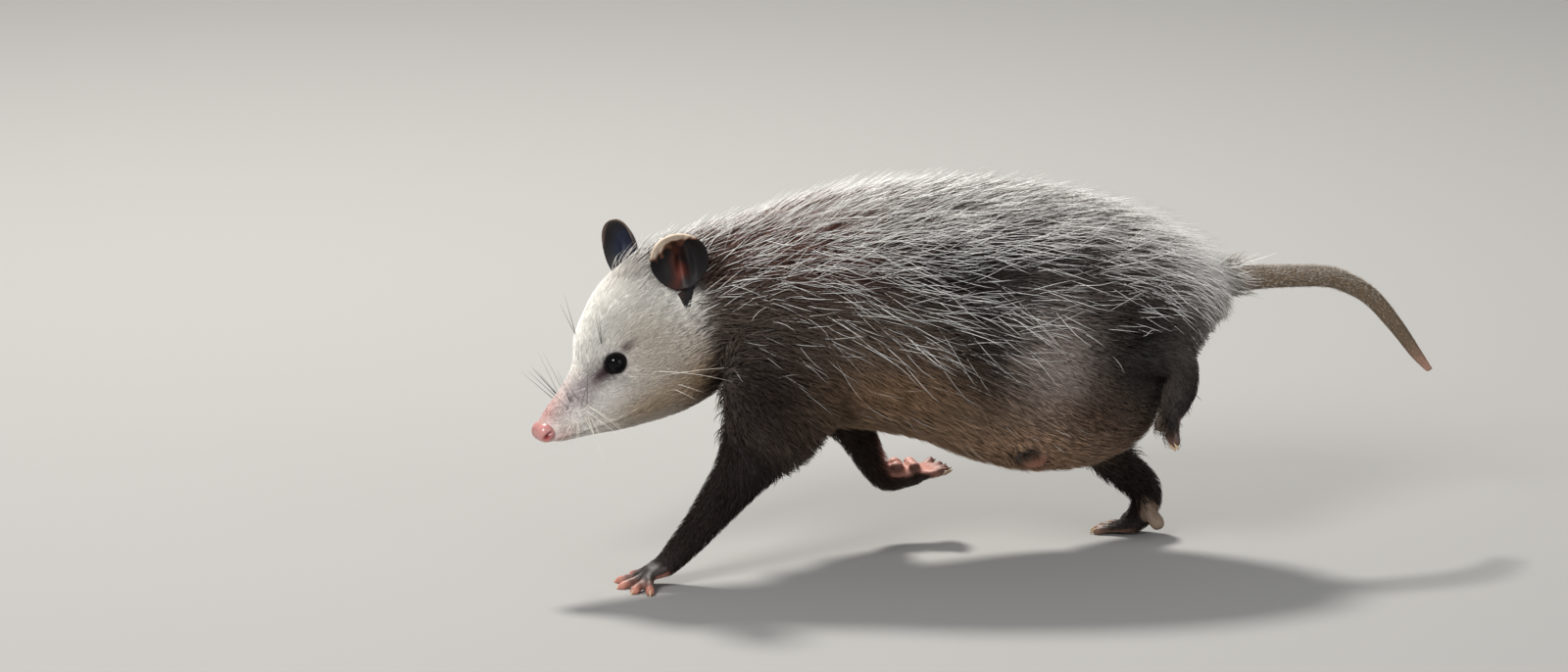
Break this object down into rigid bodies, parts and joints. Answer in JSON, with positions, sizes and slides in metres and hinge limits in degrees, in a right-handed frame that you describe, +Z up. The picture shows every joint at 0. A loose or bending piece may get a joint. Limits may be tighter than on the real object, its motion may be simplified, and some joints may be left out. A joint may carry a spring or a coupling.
{
  "type": "opossum",
  "caption": "Life-size still model of a walking opossum: pointed white face, cupped ears, shaggy grizzled coat, spread paws and bare tapering tail.",
  "frame": {"origin": "on the floor, below the centre of the box round the whole animal", "axes": "the animal walks toward -X, its left side is -Y, +Z up"},
  "size_m": [0.5184, 0.1494, 0.2179],
  "materials": {
    "face_fur": "short cream-white velvety fur, warmer along the jaw",
    "coat": "shaggy grey coat: long white guard hair over dark brown underfur",
    "leg_fur": "short dense dark brown fur",
    "foot_skin": "bare pink toes and pads with pale claws",
    "nose_skin": "moist bare pink nose pad",
    "ear_skin": "thin bare black ear skin with a pale rim",
    "eye": "wet glossy black",
    "tail_skin": "bare finely scaled tan skin, pink at the tip"
  },
  "bodies": {
    "root": {"head": "face_fur", "nose": "nose_skin", "ear_left": "ear_skin", "ear_right": "ear_skin", "eye_left": "eye", "eye_right": "eye", "neck": "coat", "torso": "coat", "upper_arm_left": "leg_fur", "upper_arm_right": "leg_fur", "forearm_left": "leg_fur", "forearm_right": "leg_fur", "shank_left": "leg_fur", "shank_right": "leg_fur", "forefoot_left": "foot_skin", "forefoot_right": "foot_skin", "hindfoot_left": "foot_skin", "hindfoot_right": "foot_skin", "tail_root": "tail_skin", "tail_middle": "tail_skin", "tail_tip": "tail_skin"}
  },
  "joints": []
}
